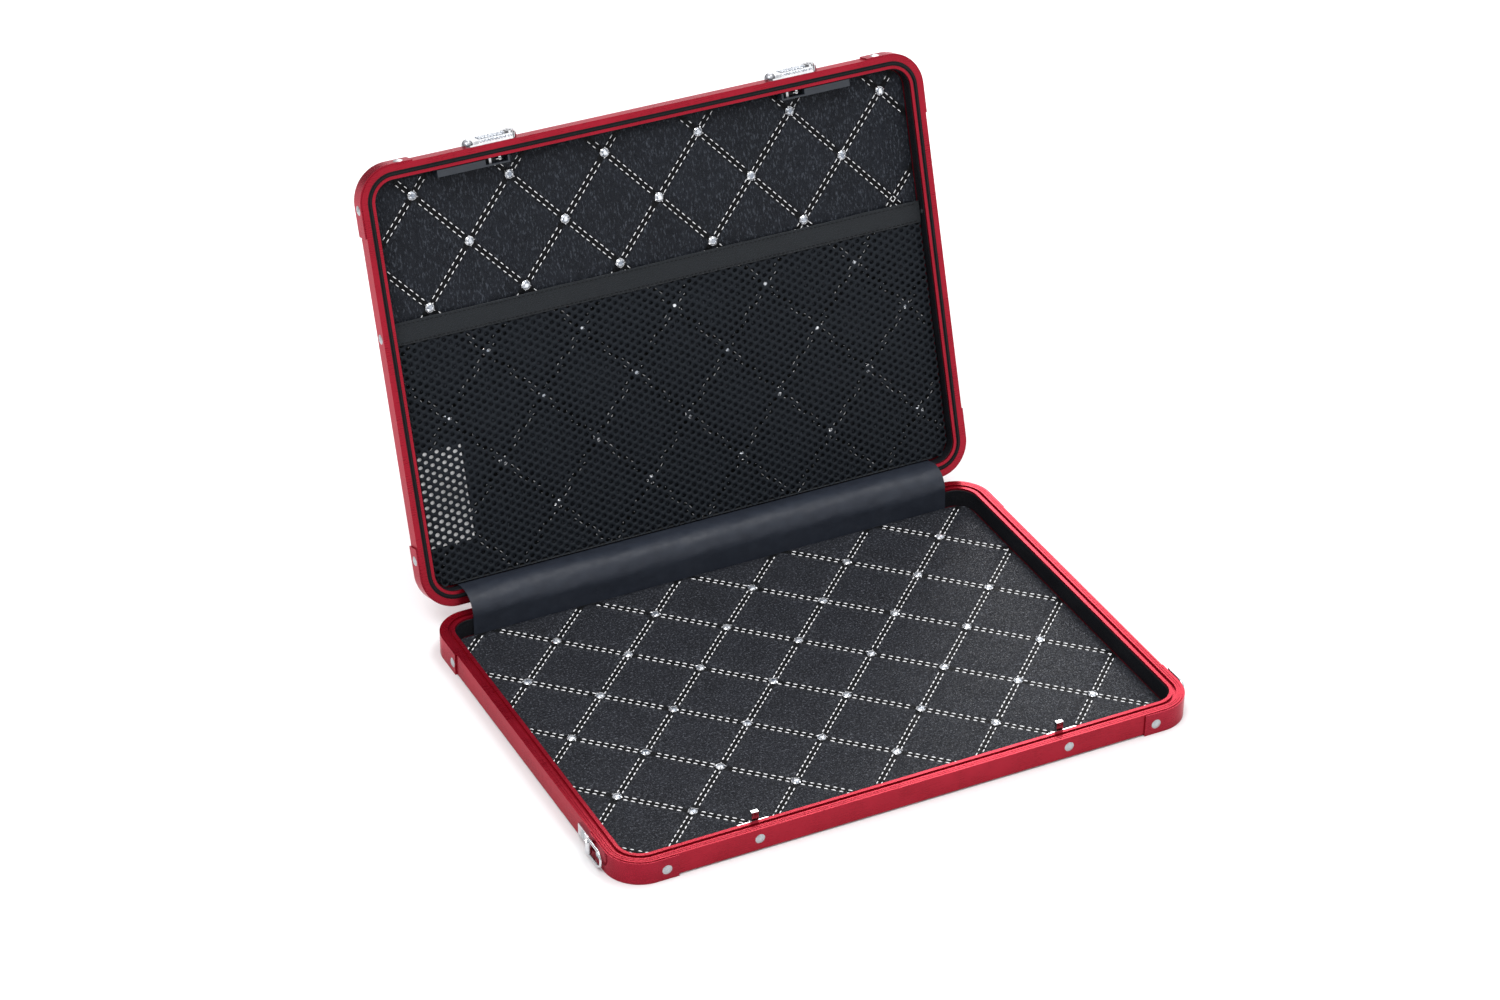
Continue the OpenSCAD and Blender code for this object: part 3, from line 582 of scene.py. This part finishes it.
def gem(build, centre, ex, ey, ez, radius, height, spin, claws=4, setting=True):
    """A round cut stone: table, stars, kites and girdle, over a ring that holds it with claws."""
    c, ex, ey, ez = (np.array(v, float) for v in (centre, ex, ey, ez))
    place = lambda r, a, h: c + ex*r*math.cos(a) + ey*r*math.sin(a) + ez*h
    n = 8
    step = 2*math.pi/n
    table = [place(radius*0.50, spin + step*(i + 0.5), height) for i in range(n)]
    mid = [place(radius*0.80, spin + step*i, height*0.80) for i in range(n)]
    girdle = [place(radius*0.97, spin + step*i/2, height*0.42) for i in range(2*n)]
    foot = [place(radius*0.70, spin + step*i/2, height*0.05) for i in range(2*n)]
    points = table + mid + girdle + foot
    m, g, f = n, 2*n, 4*n
    faces = [tuple(range(n))]
    for i in range(n):
        j = (i + 1) % n
        faces += [(m + i, m + j, i), (i, m + j, j)]
        faces += [(m + i, g + 2*i, g + 2*i + 1), (m + i, g + 2*i + 1, m + j),
                  (m + j, g + 2*i + 1, g + (2*i + 2) % (2*n))]
        for k in (2*i, 2*i + 1):
            l = (k + 1) % (2*n)
            faces.append((g + k, f + k, f + l, g + l))
    faces.append(tuple(f + i for i in range(2*n))[::-1])
    # Random facet brightness: painted glints and painted dark reflections, not the stone's own colour.
    tones = rng.choice([0.02, 0.20, 0.55, 0.85, 1.0], len(faces), p=[0.22, 0.18, 0.2, 0.2, 0.2])
    build.add(points, faces, 0, tones)
    if not setting:
        return
    sides = 20
    profile = ((1.00, 0.0), (1.14, 0.0), (1.15, height*0.42), (1.07, height*0.56), (0.97, height*0.50))
    points = [place(radius*r, 2*math.pi*i/sides, h) for r, h in profile for i in range(sides)]
    build.add(points, ring_faces(len(profile), sides), 1)
    for k in range(claws):
        a = spin + 2*math.pi*(k + 0.5)/claws
        out = ex*math.cos(a) + ey*math.sin(a)
        along = -ex*math.sin(a) + ey*math.cos(a)
        path = ((1.42, 0.04, 0.56), (1.26, 0.66, 0.58), (0.98, 0.98, 0.48), (0.70, 1.06, 0.26))
        points = []
        for r, h, w in path:
            q = c + out*radius*r + ez*height*h
            for b in range(5):
                t = 2*math.pi*b/5
                points.append(q + along*w*math.cos(t) + (out*0.5 + ez*0.85)*w*0.8*math.sin(t))
        faces = ring_faces(len(path), 5, False)
        faces += [tuple(range(5))[::-1], tuple(range(5*(len(path) - 1), 5*len(path)))]
        build.add(points, faces, 1)


def same(points):
    return np.asarray(points, float)


# ---- lining walls, net, hem, label and strip -----------------------------------------

def lining(name, body, node, low, high, place, flip):
    """Leatherette wall inside a rim, with a rolled edge and a slightly loose face."""
    turn = 1 if not flip else -1
    edge = high if not flip else low
    back = low if not flip else high
    # (inset, depth below the edge) round the rolled edge; the face then runs down to the panel.
    roll = ((8.96, 0.55), (9.02, 0.18), (9.22, 0.02), (9.44, 0.12), (9.55, 0.45))
    profile = [(w, edge - turn*d) for w, d in roll]
    profile += [(9.50, edge - turn*d) for d in (1.2, 2.4)]
    span = abs(high - low)
    profile += [(9.52, edge - turn*span*t) for t in (0.35, 0.5, 0.65, 0.8, 0.92)]
    profile += [(9.55, back), (8.96, back)]
    rings = []
    for i, (w, z) in enumerate(profile):
        ring = outline(w)
        if 4 < i < len(profile) - 2:
            s = np.arange(len(ring))
            level = np.full(len(ring), z*3.0)
            loose = 0.10*wobble(s*1.6, level, 26, 11) + 0.05*wobble(s*1.6, level, 7, 12)
            centre = np.sign(ring)*np.array([HALF_W - CORNER_R, HALF_D - CORNER_R])
            inward = -(ring - np.clip(ring, -np.abs(centre), np.abs(centre)))
            inward /= np.maximum(np.linalg.norm(inward, axis=1), 1e-6)[:, None]
            ring = ring + inward*loose[:, None]
        rings.append(np.column_stack([ring, np.full(len(ring), z)]))
    faces = ring_faces(len(rings), len(rings[0]))
    if flip:
        faces = [f[::-1] for f in faces]
    obj = piece(name, place(np.vstack(rings)), faces, [MATERIALS["lining_leather"]], body,
                60)
    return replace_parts(obj, node)


def net_piece(hem):
    """The pocket's net: one rounded hexagonal mesh whose holes go right through."""
    pitch_x, pitch_y = 4.15, 5.45
    y_low, y_high = HEM_Y1 - 4.0, 134.2
    half_width = 189.5
    corner, corner_x, corner_y = 12.6, 177.0, 123.0
    outer = [(1.18, 2.725), (-1.18, 2.725), (-2.97, 0.0), (-1.18, -2.725), (1.18, -2.725), (2.97, 0.0)]
    outer12 = []
    for i in range(6):
        a, b = np.array(outer[i]), np.array(outer[(i + 1) % 6])
        outer12 += [a, (a + b)/2]
    outer12 = np.array(outer12)
    angles = np.arctan2(outer12[:, 1], outer12[:, 0])
    hole = np.column_stack([1.62*np.cos(angles), 1.28*np.sin(angles)])
    build = Build()
    faces = []
    for i in range(12):
        j = (i + 1) % 12
        faces += [(i, j, 12 + j, 12 + i), (24 + j, 24 + i, 36 + i, 36 + j),
                  (12 + i, 12 + j, 36 + j, 36 + i)]
    for i in range(-46, 47):
        for j in range(-40, 40):
            cx = pitch_x*i + 0.1
            cy = 50.0 + pitch_y*j + (i % 2)*pitch_y/2
            if abs(cx) > half_width - 2.1 or not y_low < cy < y_high - 1.5:
                continue
            dx, dy = abs(cx) - corner_x, cy - corner_y
            if dx > 0 and dy > 0 and math.hypot(dx, dy) > corner - 1.5:
                continue
            pull = 1 + 0.06*math.sin(cx*0.021 + cy*0.05)
            inner = hole*np.array([rng.uniform(0.93, 1.06), rng.uniform(0.93, 1.06)*pull])
            inner = inner + rng.uniform(-0.08, 0.08, 2)
            xy = np.vstack([outer12, inner]) + (cx, cy)
            xy[:, 0] = np.clip(xy[:, 0], -half_width, half_width)
            xy[:, 1] = np.clip(xy[:, 1], y_low - 2, y_high)
            bow = 0.28*wobble(xy[:, 0], xy[:, 1], 90, 31)
            front = np.column_stack([xy, NET_Z + bow - np.r_[np.full(12, 0.30), np.full(12, 0.10)]])
            back = np.column_stack([xy, NET_Z + bow + np.r_[np.full(12, 0.26), np.full(12, 0.10)]])
            build.add(np.vstack([front, back]), [f[::-1] for f in faces])
    obj = piece("pocket_mesh_net", to_lid(build.all()), build.faces, [MATERIALS["net_fabric"]], "lid",
                180, weld=True)
    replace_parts(obj, "pocket_net")
    return obj


def band_section(x, centre, half, thick, build, waves=0.0, seed=5, upright=False):
    """One closed band along X with rounded edges. centre is (y, z) of its middle."""
    section = []
    for a in np.linspace(90, 270, 7):
        a = math.radians(a)
        section.append((-half + thick/2 + thick/2*math.cos(a), thick/2*math.sin(a)))
    for t in np.linspace(-0.8, 0.8, 7):
        section.append((t*(half - thick/2), -thick/2 - 0.10*(1 - t*t)))
    for a in np.linspace(-90, 90, 7):
        a = math.radians(a)
        section.append((half - thick/2 + thick/2*math.cos(a), thick/2*math.sin(a)))
    for t in np.linspace(0.8, -0.8, 5):
        section.append((t*(half - thick/2), thick/2))
    section = np.array(section)
    rings = []
    for xx in x:
        s = section
        shift = waves*float(wobble(xx, 0.0, 60, seed))
        lift = 0.5*waves*float(wobble(xx, 30.0, 35, seed + 1))
        if upright:
            y, z = centre[0] + s[:, 1], centre[1] + s[:, 0]
        else:
            y, z = centre[0] + s[:, 0] + shift, centre[1] + s[:, 1] + lift
        rings.append(np.column_stack([np.full(len(s), xx), y, z]))
    n = len(section)
    faces = ring_faces(len(rings), n, False)
    faces += [tuple(range(n))[::-1], tuple(range(n*(len(rings) - 1), n*len(rings)))]
    if upright:
        faces = [f[::-1] for f in faces]
    build.add(np.vstack(rings), faces)


def hem_piece():
    build = Build()
    x = np.linspace(-189.5, 189.5, 254)
    band_section(x, ((HEM_Y0 + HEM_Y1)/2, 22.95), 7.5, 1.25, build, waves=0.22)
    band_section(np.linspace(-177, 177, 120), (134.0, 25.0), 2.0, 0.55, build, upright=True)
    obj = piece("pocket_hem_band", to_lid(build.all()), build.faces, [MATERIALS["hem_fabric"]], "lid",
                60)
    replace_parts(obj, "pocket_hem")
    return obj


def hem_stitches():
    """Dark stitches along both edges of the hem."""
    build = Build()
    sides = 5
    for y in (HEM_Y0 + 1.6, HEM_Y1 - 1.6):
        for x in np.arange(-186, 186, 3.2):
            points = []
            for t, wide, sink in ((-1.1, 0.3, 0.12), (-0.8, 1, -0.06), (0.8, 1, -0.06), (1.1, 0.3, 0.12)):
                for b in range(sides):
                    a = 2*math.pi*b/sides
                    r = 0.26*wide
                    points.append((x + t, y + r*math.cos(a), 22.27 + sink + r*math.sin(a)))
            faces = ring_faces(4, sides, False)
            faces += [tuple(range(sides))[::-1], tuple(range(3*sides, 4*sides))]
            build.add(points, faces)
    return piece("pocket_hem_stitches", to_lid(build.all()), build.faces, [MATERIALS["gasket_rubber"]],
                 "lid", 60)


def label_piece():
    """Blank white patch behind the net, sewn down with folded edges."""
    x0, x1, y0, y1 = -187.8, -157.2, 43.2, 107.8
    nx, ny = 42, 84
    x, y = np.linspace(x0, x1, nx), np.linspace(y0, y1, ny)
    x2, y2 = np.meshgrid(x, y)
    edge = np.minimum(np.minimum(x2 - x0, x1 - x2), np.minimum(y2 - y0, y1 - y2))
    fold = 0.10*np.clip((3.0 - edge)/0.6, 0, 1)
    z = 24.30 - fold + 0.07*wobble(x2, y2, 24, 51)
    front = np.column_stack([x2.ravel(), y2.ravel(), z.ravel()])
    back = front + (0, 0, 0.22)
    top = ring_faces(ny, nx, False, False)
    faces = [f[::-1] for f in top] + [tuple(i + nx*ny for i in f) for f in top]
    rim = grid_rim(ny, nx)
    for i in range(len(rim)):
        a, b = rim[i], rim[(i + 1) % len(rim)]
        faces.append((a, b, b + nx*ny, a + nx*ny))
    obj = piece("blank_label", to_lid(np.vstack([front, back])), faces, [MATERIALS["label_fabric"]], "lid",
                50)
    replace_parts(obj, "label_patch")
    return obj


def strip_piece():
    """The vinyl strip that bends round the hinge axis and hangs into both trays."""
    mid_r, thick = 13.3, 1.0
    path = []
    for z in np.linspace(2.5, SEAM_Z, 9)[:-1]:
        path.append(((HINGE_Y - mid_r, z), (-1.0, 0.0)))
    for a in np.linspace(180, 72, 34):
        c, s = math.cos(math.radians(a)), math.sin(math.radians(a))
        path.append(((HINGE_Y + mid_r*c, SEAM_Z + mid_r*s), (c, s)))
    c, s = math.cos(math.radians(72)), math.sin(math.radians(72))
    for t in np.linspace(0, 8.7, 7)[1:]:
        path.append(((HINGE_Y + mid_r*c + t*s, SEAM_Z + mid_r*s - t*c), (c, s)))
    middle = np.array([p for p, _ in path])
    normal = np.array([n for _, n in path])
    along = np.r_[0, np.cumsum(np.linalg.norm(np.diff(middle, axis=0), axis=1))]
    nx = 150
    x = np.linspace(-173.8, 173.8, nx)
    rows = len(path)
    inside = np.sin(np.pi*np.clip(along/along[-1], 0, 1))
    x2, s2 = np.meshgrid(x, along)
    wave = 0.34*wobble(x2, s2*2.2, 70, 61) + 0.10*wobble(x2, s2*1.5, 16, 62)
    ends = np.exp(-((173.8 - np.abs(x2))/6.0)**2)
    wave = wave*inside[:, None] - 0.5*ends*inside[:, None]
    sheets = []
    for half in (thick/2, -thick/2):
        offset = wave + half
        yz = middle[:, None, :] + normal[:, None, :]*offset[..., None]
        sheets.append(np.column_stack([x2.ravel(), yz[..., 0].ravel(), yz[..., 1].ravel()]))
    top = ring_faces(rows, nx, False, False)
    count = rows*nx
    faces = list(top) + [tuple(i + count for i in f[::-1]) for f in top]
    rim = grid_rim(rows, nx)
    for i in range(len(rim)):
        a, b = rim[i], rim[(i + 1) % len(rim)]
        faces.append((b, a, a + count, b + count))
    obj = piece("hinge_cover_strip", np.vstack(sheets), faces, [MATERIALS["strip_vinyl"]], None,
                60)
    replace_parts(obj, "hinge_strip")
    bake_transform(obj)
    return obj


# ---- locks ------------------------------------------------------------------------------

def lock_studs(side):
    """Small cut stones set all over the body of a lock."""
    build = Build()
    cx, cz, pitch, first = side*LOCK_X, LOCK_Z, 2.08, -7.2
    face, flank, knob_at, flank_r = -HALF_D - 3.95, -HALF_D - 2.6, 13, 4.55
    ex, ey, ez = (1, 0, 0), (0, 0, 1), (0, -1, 0)
    for i in range(8):
        for j in range(4):
            x = first + i*pitch
            if math.hypot(x - knob_at, (j - 1.5)*pitch) < 5.7 or x > 8.2:
                continue
            gem(build, (cx + x, face, cz + (j - 1.5)*pitch), ex, ey, ez, 0.98, 0.85,
                rng.uniform(0, 1.5), setting=False)
    for i in range(9):
        x = first + i*pitch
        for up in (-1, 1):
            gem(build, (cx + x, flank, cz + up*flank_r), (1, 0, 0), (0, -1, 0), (0, 0, up), 0.98, 0.6,
                rng.uniform(0, 1.5), setting=False)
    for i in range(9):
        a = math.radians(-100 + 200*i/8)
        d = (math.cos(a), 0, math.sin(a))
        gem(build, (cx + knob_at + flank_r*d[0], flank, cz + flank_r*d[2]), (-d[2], 0, d[0]),
            (0, -1, 0), d, 0.9, 0.5, rng.uniform(0, 1.5), setting=False)
    name = "lock_stones_" + ("left" if side < 0 else "right")
    return piece(name, to_lid(build.all()), build.faces, [MATERIALS["stone"]], "lid", 20,
                 None, build.tones)


def coil_spring(side, name):
    """The return spring behind a bolt, as a coil of fixed length that does not shorten as the bolt slides.
    """
    turns, steps, sides = 7, 16, 6
    length, coil_r, wire_r = 6.15, 0.98, 0.2
    start = np.array((side*LOCK_X + 9.55, -140.1, LOCK_Z))
    inner = length - 2*wire_r
    rows = turns*steps + 1
    points = []
    for i in range(rows):
        turn = 2*math.pi*i/steps
        out = np.array((0.0, math.cos(turn), math.sin(turn)))
        middle = start + out*coil_r + (wire_r + inner*i/(rows - 1), 0, 0)
        for k in range(sides):
            a = 2*math.pi*k/sides
            points.append(middle + out*wire_r*math.cos(a) + np.array((wire_r*math.sin(a), 0, 0)))
    faces = ring_faces(rows, sides, False)
    faces += [tuple(range(sides))[::-1], tuple(range((rows - 1)*sides, rows*sides))]
    obj = piece(name + "_coil", to_lid(points), faces, [MATERIALS["rivet_steel"]], "lid", 60)
    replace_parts(obj, name)
    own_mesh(obj)
    return obj


# ---- stage -----------------------------------------------------------------------------------

def make_camera():
    """The camera that took the photo, fitted to its perspective."""
    az, el, roll = math.radians(-26.804), math.radians(32.826), math.radians(0.583)
    back = Vector((math.sin(az)*math.cos(el), -math.cos(az)*math.cos(el), math.sin(el)))
    right = Vector((math.cos(az), math.sin(az), 0))
    up = back.cross(right)
    c, s = math.cos(roll), math.sin(roll)
    right, up = c*right + s*up, -s*right + c*up
    eye = Vector((0.049663, 0.183477, 0.0163)) + 2.804547*back
    data = bpy.data.cameras.new("photo_camera")
    data.sensor_width, data.lens = 36.0, 99.66
    data.clip_end = 50
    camera = bpy.data.objects.new("photo_camera", data)
    bpy.context.scene.collection.objects.link(camera)
    camera.matrix_world = Matrix((
        (right.x, up.x, back.x, eye.x), (right.y, up.y, back.y, eye.y), (right.z, up.z, back.z, eye.z),
        (0, 0, 0, 1)))
    bpy.context.scene.camera = camera


def make_floor():
    """White floor, far wider than the case."""
    size = 6.0
    mesh = bpy.data.meshes.new("studio_floor")
    mesh.from_pydata([(-size, -size, 0), (size, -size, 0), (size, size, 0), (-size, size, 0)], [],
                     [(0, 1, 2, 3)])
    floor = bpy.data.objects.new("studio_floor", mesh)
    bpy.context.scene.collection.objects.link(floor)
    s = Shader("pale_floor", Roughness=0.9, Specular_IOR_Level=0.1)
    s.set("Base Color", s.mix(s.noise(300, 2), (0.86, 0.86, 0.87), (0.88, 0.88, 0.88)))
    mesh.materials.append(s.material)


def make_sky():
    """A sky that darkens towards the horizon, with two bright panels in it."""
    world = bpy.data.worlds.new("studio")
    bpy.context.scene.world = world
    world.use_nodes = True
    nodes, links = world.node_tree.nodes, world.node_tree.links
    split = nodes.new("ShaderNodeSeparateXYZ")
    where = nodes.new("ShaderNodeTexCoord").outputs["Generated"]
    links.new(where, split.inputs[0])
    sky = nodes.new("ShaderNodeValToRGB")
    links.new(split.outputs["Z"], sky.inputs["Fac"])
    elements = sky.color_ramp.elements
    for place, value in ((0.22, 0.22), (0.50, 0.90)):
        elements.new(place).color = (value, value, value*1.02, 1)
    elements[0].color = (0.12, 0.12, 0.13, 1)
    elements[-1].color = (1, 1, 1, 1)
    links.new(sky.outputs["Color"], nodes["Background"].inputs["Color"])
    nodes["Background"].inputs["Strength"].default_value = 1.0
    total = nodes["Background"].outputs[0]
    panels = (((0.379, 0.750, 0.542), (0.86, 0.97), 1.35), ((0.379, -0.926, 0.03), (0.90, 0.98), 1.5))
    for place, reach, strength in panels:
        dot = nodes.new("ShaderNodeVectorMath")
        dot.operation = "DOT_PRODUCT"
        dot.inputs[1].default_value = place
        links.new(where, dot.inputs[0])
        soft_edge = nodes.new("ShaderNodeMapRange")
        soft_edge.inputs["From Min"].default_value, soft_edge.inputs["From Max"].default_value = reach
        soft_edge.inputs["To Max"].default_value = strength
        links.new(dot.outputs["Value"], soft_edge.inputs["Value"])
        panel = nodes.new("ShaderNodeBackground")
        links.new(soft_edge.outputs[0], panel.inputs["Strength"])
        add = nodes.new("ShaderNodeAddShader")
        links.new(total, add.inputs[0])
        links.new(panel.outputs[0], add.inputs[1])
        total = add.outputs[0]
    links.new(total, nodes["World Output"].inputs["Surface"])


def soft_lamp(name, place, aim, width, power):
    """A rectangular lamp of that width in metres, turned to the aim."""
    data = bpy.data.lights.new(name, "AREA")
    data.shape, data.size, data.size_y, data.energy = "RECTANGLE", width, width*0.7, power
    light = bpy.data.objects.new(name, data)
    bpy.context.scene.collection.objects.link(light)
    light.location = place
    light.rotation_euler = (Vector(aim) - Vector(place)).to_track_quat("-Z", "Y").to_euler()


def make_stage():
    """Floor, sky and three soft lamps, seen without a film look."""
    make_floor()
    make_sky()
    soft_lamp("key", (-1.2, -0.6, 2.5), (0.0, 0.0, 0.05), 1.5, 30)
    soft_lamp("top", (0.9, -0.2, 2.7), (0.1, 0.1, 0.05), 1.5, 20)
    soft_lamp("back", (1.0, 2.05, 1.5), (0.05, 0.1, 0.05), 1.0, 20)
    view = bpy.context.scene.view_settings
    view.view_transform, view.look = "Standard", "None"


# ---- scene ---------------------------------------------------------------------------------------

make_camera()
make_stage()
dress_frame()

base_quilt = Quilt((-129, 105), (35.3, 33.7), 8, BASE_SEAM_Z, 1, 101, 1.2, 0.42)
lid_quilt = Quilt((-163, 99), (33.5, 36.9), 7, LID_SEAM_Z, -1, 202, 0.95, 0.31, skip=((0, 0), (4, 5)))
base_quilt.panel("base_quilted_panel", MATERIALS["quilt_base"], "base", "base_quilt", same, 1.22)
lid_quilt.panel("lid_quilted_panel", MATERIALS["quilt_lid"], "lid", "lid_quilt", to_lid, 27.18)
base_quilt.stitches("base_stitches", "base", same)
lid_quilt.stitches("lid_stitches", "lid", to_lid)
base_quilt.gems("base_set_stones", "base", same, "base_stones")
lid_quilt.gems("lid_set_stones", "lid", to_lid, "lid_stones")
lining("base_lining_wall", "base", "base_lining", 2.45, 14.9, same, False)
lining("lid_lining_wall", "lid", "lid_lining", 17.7, 25.95, to_lid, True)
label_piece()
net_piece(hem_piece())
hem_stitches()
strip_piece()
for side, hand in ((-1, "left"), (1, "right")):
    lock_studs(side)
    coil_spring(side, "lock_spring_" + hand)
